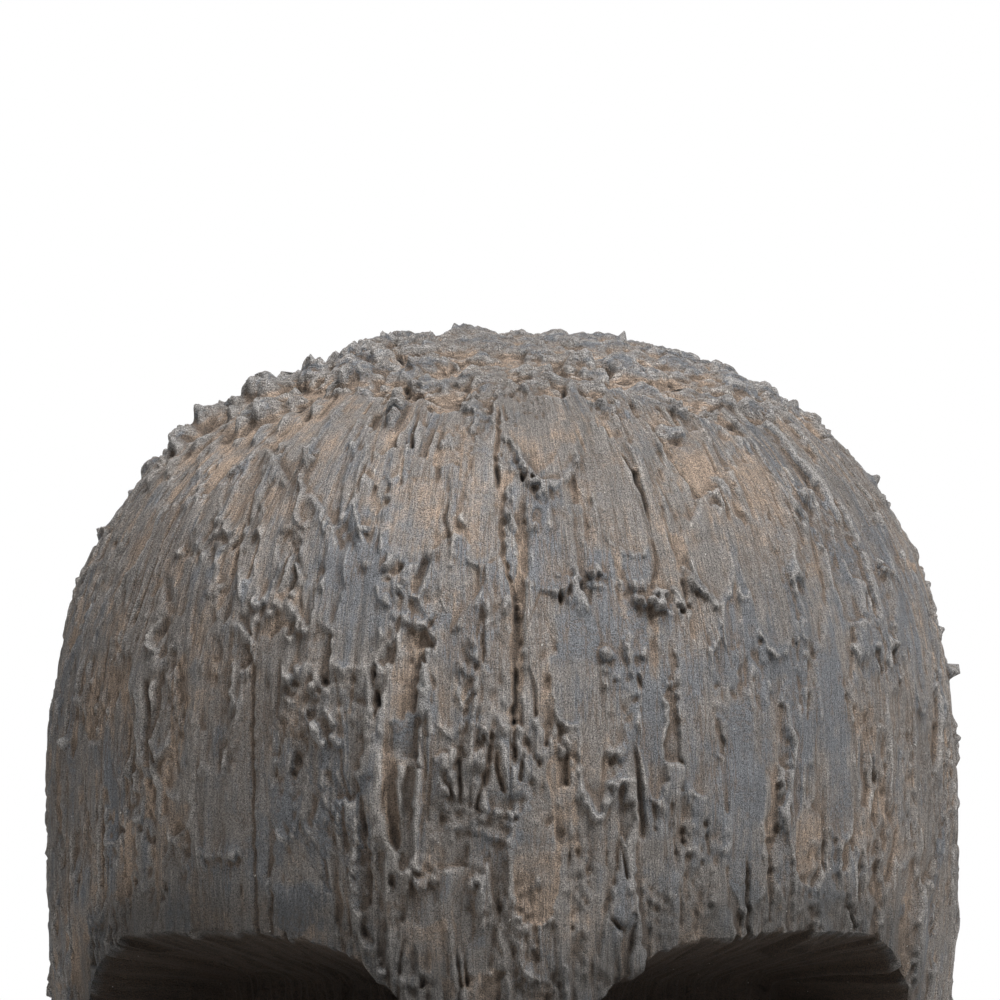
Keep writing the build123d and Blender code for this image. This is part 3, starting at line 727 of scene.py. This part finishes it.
# the values that the paint reads at every point of the surface
skinMaps = {"fineRelief": fineRelief, "broadRelief": broadRelief, "tone": tone, "hollow": hollow,
            "paintedShade": paintedShade, "torn": torn}


def netPiece(name, leftColumn, rightColumn, rowList, strides, node):
    # A closed patch of the shell: the carved outside from the net, a smooth inside one wall further in, and
    # edges between them. strides gives how many columns each row steps over; triangles join rows that differ.
    span = rightColumn - leftColumn
    counts = [1 if row == 0 else span // stride + 1 for row, stride in zip(rowList, strides)]
    starts = np.concatenate([[0], np.cumsum(counts)])
    rowOf = np.repeat(rowList, counts)
    columnOf = np.concatenate([np.arange(n) * s for n, s in zip(counts, strides)]) + leftColumn
    spots = outer[rowOf, columnOf % columns]
    quads, triangles = [], []
    for k in range(len(rowList) - 1):
        up, low = starts[k] + np.arange(counts[k]), starts[k + 1] + np.arange(counts[k + 1])
        if counts[k] == 1:
            triangles.append(np.column_stack([np.full(len(low) - 1, up[0]), low[:-1], low[1:]]))
        elif counts[k] == counts[k + 1]:
            quads.append(np.column_stack([up[:-1], low[:-1], low[1:], up[1:]]))
        elif counts[k] < counts[k + 1]:
            odd = low[1::2]
            triangles.append(np.column_stack([up[:-1], low[:-2:2], odd]))
            triangles.append(np.column_stack([up[:-1], odd, up[1:]]))
            triangles.append(np.column_stack([up[1:], odd, low[2::2]]))
        else:
            odd = up[1::2]
            triangles.append(np.column_stack([up[:-2:2], low[:-1], odd]))
            triangles.append(np.column_stack([odd, low[:-1], low[1:]]))
            triangles.append(np.column_stack([odd, low[1:], up[2::2]]))
    # the inside, on every so many rows and columns
    inRows = sorted(set(range(0, len(rowList), 22)) | {len(rowList) - 1})
    inColumns = np.arange(0, span + 1, 32)
    pole = rowList[0] == 0
    inCounts = [1 if pole and k == 0 else len(inColumns) for k in inRows]
    inStarts = np.concatenate([[0], np.cumsum(inCounts)]) + len(spots)
    inRowOf = np.repeat(np.array(rowList)[inRows], inCounts)
    inColumnOf = np.concatenate([inColumns[:n] for n in inCounts]) + leftColumn
    here = inRowOf, inColumnOf % columns
    inside = innerWall[here]
    flats = []
    for k in range(len(inRows) - 1):
        up, low = inStarts[k] + np.arange(inCounts[k]), inStarts[k + 1] + np.arange(inCounts[k + 1])
        if inCounts[k] == 1:
            flats.append(np.column_stack([np.full(len(low) - 1, up[0]), low[1:], low[:-1]]))
        else:
            flats.append(np.column_stack([up[:-1], low[1:], low[:-1]]))
            flats.append(np.column_stack([up[:-1], up[1:], low[1:]]))

    def rim(outLine, outAt, inLine, inAt, flip):
        # fans from each inner corner to the outer edge beside it, then a triangle on to the next inner corner
        owner = np.searchsorted(inAt, outAt[:-1], side="right") - 1
        fans = np.column_stack([outLine[:-1], outLine[1:], inLine[owner]])
        reached = np.searchsorted(outAt, inAt[1:])
        links = np.column_stack([outLine[reached], inLine[1:], inLine[:-1]])
        both = np.vstack([fans, links])
        flats.append(both[:, ::-1] if flip else both)

    rowAt, inRowAt = np.arange(len(rowList)), np.array(inRows)
    firsts, lasts = starts[:-1], starts[1:] - 1
    rim(firsts, rowAt, inStarts[:-1], inRowAt, True)
    rim(lasts, rowAt, inStarts[1:] - 1, inRowAt, False)
    bottomAt = np.arange(counts[-1]) * strides[-1]
    rim(starts[-2] + np.arange(counts[-1]), bottomAt, inStarts[-2] + np.arange(inCounts[-1]), inColumns, True)
    if not pole:
        topAt = np.arange(counts[0]) * strides[0]
        rim(starts[0] + np.arange(counts[0]), topAt, inStarts[0] + np.arange(inCounts[0]), inColumns, False)
    spots = np.vstack([spots, inside]) * millimetre
    allTriangles = np.vstack(triangles + flats) if triangles else np.vstack(flats)
    allQuads = np.vstack(quads)
    mesh = bpy.data.meshes.new(name)
    mesh.vertices.add(len(spots))
    mesh.vertices.foreach_set("co", spots.astype(np.float32).ravel())
    corners = np.concatenate([allQuads.ravel(), allTriangles.ravel()])
    mesh.loops.add(len(corners))
    mesh.loops.foreach_set("vertex_index", corners.astype(np.int32))
    sizes = np.concatenate([np.full(len(allQuads), 4), np.full(len(allTriangles), 3)])
    mesh.polygons.add(len(sizes))
    mesh.polygons.foreach_set("loop_start", (np.cumsum(sizes) - sizes).astype(np.int32))
    mesh.update(calc_edges=True)
    mesh.polygons.foreach_set("use_smooth", np.ones(len(sizes), bool))
    if min(strides) == 1:
        facing = np.vstack([outerNormals[rowOf, columnOf % columns], -normals[here]])
        mesh.normals_split_custom_set_from_vertices(facing)
    fill = len(spots) - len(rowOf)
    for label, values in skinMaps.items():
        layer = mesh.attributes.new(label, "FLOAT", "POINT")
        padded = np.concatenate([values[rowOf, columnOf % columns], np.zeros(fill)])
        layer.data.foreach_set("value", padded.astype(np.float32))
    angle, down = turn[columnOf % columns], run[rowOf] * millimetre
    placeOnLog = np.column_stack([0.2 * np.sin(angle), -0.2 * np.cos(angle), down])
    layer = mesh.attributes.new("placeOnLog", "FLOAT_VECTOR", "POINT")
    layer.data.foreach_set("vector", np.vstack([placeOnLog, np.zeros((fill, 3))]).astype(np.float32).ravel())
    piece = bpy.data.objects.new(name, mesh)
    bpy.context.scene.collection.objects.link(piece)
    piece.data.materials.append(skin)
    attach(piece, rootBody)
    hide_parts(node)
    print(name, len(sizes) + len(allQuads), "triangles")


class Wire:
    # a node socket that can be used in sums, such as 1 - mask * 0.5
    def __init__(self, shader, socket):
        self.shader, self.socket = shader, socket

    def sum(self, operation, first, second):
        return self.shader.node("ShaderNodeMath", {"operation": operation}, {0: first, 1: second})

    def __add__(self, other):
        return self.sum("ADD", self, other)

    def __radd__(self, other):
        return self.sum("ADD", other, self)

    def __sub__(self, other):
        return self.sum("SUBTRACT", self, other)

    def __rsub__(self, other):
        return self.sum("SUBTRACT", other, self)

    def __mul__(self, other):
        return self.sum("MULTIPLY", self, other)

    def __rmul__(self, other):
        return self.sum("MULTIPLY", other, self)

    def clamp(self, low=0.0, high=1.0):
        return self.sum("MINIMUM", self.sum("MAXIMUM", self, low), high)


class Shader:
    # one material and the nodes added to it
    def __init__(self, name, **constants):
        self.material = bpy.data.materials.new(name)
        self.material.use_nodes = True
        self.tree = self.material.node_tree
        self.surface = self.tree.nodes["Principled BSDF"]
        for socket, value in constants.items():
            self.surface.inputs[socket.replace("_", " ")].default_value = value

    def node(self, kind, settings, sockets, output=0):
        node = self.tree.nodes.new(kind)
        for key, value in settings.items():
            setattr(node, key, value)
        for key, value in sockets.items():
            if isinstance(value, Wire):
                self.tree.links.new(value.socket, node.inputs[key])
            else:
                node.inputs[key].default_value = value
        return Wire(self, node.outputs[output])

    def attribute(self, name, output="Fac"):
        return self.node("ShaderNodeAttribute", {"attribute_name": name}, {}, output)

    def place(self):
        return self.node("ShaderNodeTexCoord", {}, {}, "Object")

    def stretch(self, vector, amounts):
        return self.node("ShaderNodeVectorMath", {"operation": "MULTIPLY"}, {0: vector, 1: amounts})

    def noise(self, vector, scale, detail=3.0, roughness=0.5):
        sockets = {"Vector": vector, "Scale": scale, "Detail": detail, "Roughness": roughness}
        return self.node("ShaderNodeTexNoise", {"noise_dimensions": "3D"}, sockets, "Fac")

    def ramp(self, value, low, high):
        # 0 at low, 1 at high
        sockets = {"Value": value, "From Min": low, "From Max": high}
        return self.node("ShaderNodeMapRange", {"clamp": True, "interpolation_type": "SMOOTHSTEP"}, sockets)

    def mix(self, factor, first, second, blend="MIX"):
        settings = {"data_type": "RGBA", "blend_type": blend, "clamp_factor": True}
        return self.node("ShaderNodeMix", settings, {0: factor, 6: first, 7: second}, 2)

    def bump(self, height, distance):
        return self.node("ShaderNodeBump", {}, {"Height": height, "Distance": distance, "Strength": 1.0})

    def feed(self, socket, wire):
        self.tree.links.new(wire.socket, self.surface.inputs[socket])


def rgb(red, green, blue):
    # display values 11 to 255 to a linear colour
    return tuple(((v / 255 + 0.055) / 1.055) ** 2.4 for v in (red, green, blue)) + (1.0,)


skinColours = {
    "body": rgb(122, 116, 111), "tan": rgb(146, 127, 110), "slate": rgb(98, 100, 104),
    # edge: lighter grey on raised ridges, dry-brushed paint and painted highlight
    # pit: near-black painted shadow for the deepest recesses of the fine relief
    # recess: brown base paint in the hollows, made darker as painted shade
    "recessBrownAndShade": rgb(96, 80, 66), "pitShadow": rgb(34, 26, 20), "edge": rgb(160, 155, 150),
    # stain: brown stain in the eye sockets, dark enough to stand in as painted shade too
    "speck": rgb(232, 228, 222), "socketStainAndShade": rgb(94, 74, 57),
}


skinGrain = {
    # what each noise follows, its stretch up the log, then its scale, detail and roughness
    "crumbs": ("object", 1.3, 420.0, 4.0, 0.7), "clods": ("object", 1.8, 130.0, 3.0, 0.6),
    "hairs": ("log", 0.07, 1150.0, 3.0, 0.65), "fibres": ("log", 0.06, 520.0, 4.0, 0.62),
    "strands": ("log", 0.09, 190.0, 3.0, 0.55), "check": ("log", 0.11, 175.0, 4.0, 0.6),
    "chip": ("object", 1.0, 120.0, 5.0, 0.7), "grit": ("object", 1.0, 1900.0, 2.0, 0.8),
    "mottle": ("object", 1.0, 60.0, 4.0, 0.7), "patches": ("object", 1.0, 14.0, 3.0, 0.55),
}
skinBump = 0.0075


def carvedSkin():
    shader = Shader("carvedComposite", Roughness=0.7, Specular_IOR_Level=0.45)
    place, onLog = shader.place(), shader.attribute("placeOnLog", "Vector")
    fine, broad, paint, depth, paintedShadeAmount, tornEnd = (
        shader.attribute(label) for label in skinMaps)
    inside = shader.ramp(depth, 2.0, 7.0)
    loose = tornEnd.sum("MAXIMUM", tornEnd, inside)
    # along the grain on the carved sides, level and crumbly on the torn end and in the sockets
    follows = {"object": place, "log": onLog}
    crumbs, clods, hairs, fibres, strands, check, chip, grit, mottle, patches = (
        shader.noise(shader.stretch(follows[base], (1.0, 1.0, tall)), *look) - 0.5
        for base, tall, *look in skinGrain.values())
    fibres = fibres + (crumbs - fibres) * loose
    strands = strands + (clods - strands) * loose
    # the grain shows strongly on some facets and is rubbed down or sandy on others
    sandy = shader.ramp(shader.noise(place, 34.0, 3.0, 0.6), 0.47, 0.6) * (1 - loose) * 0.8
    fibres = fibres + (crumbs - fibres) * sandy
    rubbed = 1 - shader.ramp(paint + (shader.noise(place, 26.0, 2.0, 0.5) - 0.5) * 3.0, 0.2, 0.9) * 0.6
    fibres, hairs = fibres * rubbed, hairs * (1 - loose) * (1 - sandy * 0.7)
    # thin dark checks, where a stretched noise passes its middle, and short broken ones in the sandy patches
    checked = shader.ramp(shader.noise(place, 24.0, 2.0, 0.5), 0.44, 0.56) * (1 - loose)
    checks = (1 - shader.ramp(check * check, 0.0, 0.0009)) * checked
    checks = (checks + (1 - shader.ramp(chip * chip, 0.0, 0.0008)) * (sandy + tornEnd * 0.8)).clamp()
    washed = paint * 0.5 + mottle * 2.6 + patches * 1.6 + broad * 0.3 + hairs * -1.6 + strands * 1.5
    warmed = paint * -0.7 + mottle * -2.6 + broad * -0.45 + fibres * 0.8 + hairs * 0.8
    layers = ((shader.ramp(washed, 0.0, 0.9), "slate"), (shader.ramp(warmed, 0.0, 1.0), "tan"),
              # brown base paint in the hollows of the fine relief, darkened further as painted shade; the
              # thin checks below take it too
              (shader.ramp(fine * -1, 0.05, 0.65) * 0.82, "recessBrownAndShade"),
              # painted shadow: near black in the deepest recesses of the fine relief
              # raised ridges lighter: dry-brushed paint and painted highlight
              (shader.ramp(fine * -1, 0.6, 2.1), "pitShadow"), (shader.ramp(fine, 0.15, 0.9) * 0.6, "edge"),
              # socket interiors painted dark brown: stain and painted shade
              (checks * 0.6, "recessBrownAndShade"), (inside, "socketStainAndShade"))
    colour = skinColours["body"]
    for amount, over in layers:
        colour = shader.mix(amount, colour, skinColours[over])
    streak = (1.04 + fibres * 0.85 + strands * 0.6 + hairs * 1.2 + patches * 0.8) * (1 + grit * 4.8)
    # painted shade: the colour is up to 0.55 darker in the face's hollows and in the band below the brow
    streak = streak * (1 - shader.ramp(paintedShadeAmount, 0.05, 5.0) * 0.55)
    shade = shader.node("ShaderNodeCombineColor", {}, {0: streak, 1: streak, 2: streak})
    colour = shader.mix(1.0, colour, shade, "MULTIPLY")
    speck = shader.ramp(shader.noise(place, 620.0, 1.0, 0.5), 0.79, 0.83)
    colour = shader.mix(speck * 0.85, colour, skinColours["speck"])
    shader.feed("Base Color", colour)
    height = checks * -0.09 + fibres * 0.58 + strands * (0.6 + loose * 0.8) + hairs * 0.44 + grit * 0.9
    shader.feed("Normal", shader.bump(height, skinBump))
    return shader.material


skin = carvedSkin()
rootBody = next(iter(frame["bodies"]))


def poleStride(row, least):
    # near the crown the columns crowd together, so fewer are used
    stride = least
    while stride < 32 and coreRadius[row] * 2 * math.pi / columns * stride < columnStep * least * 0.55:
        stride *= 2
    return stride


browRow = int(np.argmin(np.abs(coreHeight[:jawEnd] - 905)))
domeRows = plainRows(0, browRow, 1)
faceRows = plainRows(browRow, jawEnd, 2)
bodyRows = plainRows(jawEnd, rows - 1, 2)
frontLeft, frontRight = columns // 4, 3 * columns // 4
quarter = columns // 8
staves = ["crown_far_left", "crown_left", "crown_right", "crown_far_right"]
for k, name in enumerate(staves):
    left = frontLeft + k * quarter
    netPiece(name, left, left + quarter, domeRows, [poleStride(r, 1) for r in domeRows], "front_shell")
netPiece("face", frontLeft, frontRight, faceRows, [1] + [2] * (len(faceRows) - 1), "front_shell")
netPiece("body_front", frontLeft, frontRight, bodyRows, [2] + [4] * (len(bodyRows) - 1), "front_shell")
backLeft, backRight = frontRight, frontLeft + columns
netPiece("crown_back", backLeft, backRight, domeRows, [poleStride(r, 4) for r in domeRows], "back_shell")
netPiece("nape", backLeft, backRight, faceRows, [4] * len(faceRows), "back_shell")
netPiece("body_back", backLeft, backRight, bodyRows, [4] * len(bodyRows), "back_shell")
print("skins made")


def plainFinish(name, colour, spread, scale, roughness, metallic, stretch, bump):
    # a colour broken up by noise at one scale, with bump from the same noise
    shader = Shader(name, Metallic=metallic)
    place = shader.stretch(shader.place(), stretch)
    noise = shader.noise(place, scale, 4.0, 0.6)
    darker = tuple(c * (1 - spread) for c in colour[:3]) + (1.0,)
    lighter = tuple(min(c * (1 + spread), 1) for c in colour[:3]) + (1.0,)
    shader.feed("Base Color", shader.mix(noise, darker, lighter))
    shader.feed("Roughness", roughness - 0.08 + noise * 0.16)
    shader.feed("Normal", shader.bump(noise, bump))
    return shader.material


finishes = {
    # name, colour, its spread, scale of the noise, roughness, metallic, stretch, bump
    "laminate": ("glassMatLaminate", rgb(176, 170, 152), 0.35, 420.0, 0.5, 0.0, (1, 1, 0.4), 0.0005),
    "board": ("filmFacedBoard", rgb(92, 66, 44), 0.3, 260.0, 0.45, 0.0, (1, 0.15, 1), 0.0002),
    "insert_brass": ("turnedBrass", rgb(196, 160, 88), 0.15, 900.0, 0.32, 1.0, (1, 1, 12), 0.00004),
    "zinc_steel": ("zincPlate", rgb(178, 180, 178), 0.18, 700.0, 0.36, 1.0, (1, 1, 1), 0.00004),
    "foot_rubber": ("footRubber", rgb(38, 38, 39), 0.3, 1400.0, 0.8, 0.0, (1, 1, 1), 0.00015),
    "grommet_rubber": ("grommetRubber", rgb(42, 42, 43), 0.3, 1100.0, 0.7, 0.0, (1, 1, 1), 0.0001),
    "ballast_concrete": ("ballastConcrete", rgb(160, 157, 150), 0.25, 160.0, 0.9, 0.0, (1, 1, 1), 0.0008),
}
finishes = {slot: plainFinish(*look) for slot, look in finishes.items()}
for part in frame["record"]["subparts"]:
    finish = finishes.get(part["material_slot"])
    node = frame["nodes"][part["node"]]
    node.data.materials.clear()
    node.data.materials.append(finish or skin)
print("base and inside finished")

studio = {
    "floorRadius": 2.6, "floorSides": 96, "floorDepth": 0.02,
    "floor": ("paleFloor", rgb(232, 230, 226), 0.02, 20.0, 0.7, 0.0, (1, 1, 1), 0.00005),
    "cameraDistance": 3.0, "cameraHeight": 1.1243, "frameWidth": 0.4348, "sensor": 36.0,
    "ambient": 0.19,
}


def setStage():
    mesh = bpy.data.meshes.new("floor")
    n = studio["floorSides"]
    angles = np.linspace(0, 2 * math.pi, n, endpoint=False)
    ring = np.column_stack([np.cos(angles), np.sin(angles), np.zeros(n)]) * studio["floorRadius"]
    corners = np.vstack([ring, ring - (0, 0, studio["floorDepth"])])
    sides = [(i, i + n, (i + 1) % n + n, (i + 1) % n) for i in range(n)]
    mesh.from_pydata(corners.tolist(), [], [tuple(range(n)), tuple(range(2 * n - 1, n - 1, -1))] + sides)
    floor = bpy.data.objects.new("floor", mesh)
    bpy.context.scene.collection.objects.link(floor)
    floor.data.materials.append(plainFinish(*studio["floor"]))


def areaLight(name, place, aim, size, power):
    data = bpy.data.lights.new(name, "AREA")
    data.shape, data.size, data.size_y, data.energy = "RECTANGLE", size[0], size[1], power
    light = bpy.data.objects.new(name, data)
    bpy.context.scene.collection.objects.link(light)
    light.location = place
    away = np.array(place, float) - np.array(aim, float)
    light.rotation_euler = (math.acos(away[2] / np.linalg.norm(away)), 0, math.atan2(away[0], -away[1]))


def lightStudio():
    head = (0, 0, 1.05)
    areaLight("topSoftbox", (0.3, -0.42, 2.9), head, (0.9, 0.9), 74)
    areaLight("rightSoftbox", (1.75, -0.85, 3.1), head, (0.7, 0.8), 140)
    areaLight("leftFill", (-2.2, -1.1, 2.3), head, (0.8, 1.0), 50)
    areaLight("backFill", (0.9, 2.4, 1.9), (0, 0, 0.6), (0.9, 1.2), 24)
    world = bpy.data.worlds.new("studio")
    bpy.context.scene.world = world
    world.use_nodes = True
    tree = world.node_tree
    tree.nodes.clear()
    seen = tree.nodes.new("ShaderNodeBackground")
    seen.inputs["Color"].default_value = (1, 1, 1, 1)
    seen.inputs["Strength"].default_value = 1.0
    ambient = tree.nodes.new("ShaderNodeBackground")
    ambient.inputs["Color"].default_value = (0.96, 0.98, 1, 1)
    ambient.inputs["Strength"].default_value = studio["ambient"]
    rays = tree.nodes.new("ShaderNodeLightPath")
    both = tree.nodes.new("ShaderNodeMixShader")
    output = tree.nodes.new("ShaderNodeOutputWorld")
    tree.links.new(rays.outputs["Is Camera Ray"], both.inputs[0])
    tree.links.new(ambient.outputs[0], both.inputs[1])
    tree.links.new(seen.outputs[0], both.inputs[2])
    tree.links.new(both.outputs[0], output.inputs[0])
    bpy.context.scene.view_settings.view_transform = "Standard"


def setCamera():
    data = bpy.data.cameras.new("camera")
    data.sensor_width = studio["sensor"]
    data.lens = studio["sensor"] * studio["cameraDistance"] / studio["frameWidth"]
    camera = bpy.data.objects.new("camera", data)
    bpy.context.scene.collection.objects.link(camera)
    camera.location = (0, -studio["cameraDistance"], studio["cameraHeight"])
    camera.rotation_euler = (math.pi / 2, 0, 0)
    bpy.context.scene.camera = camera


setStage()
lightStudio()
setCamera()
print("studio set")
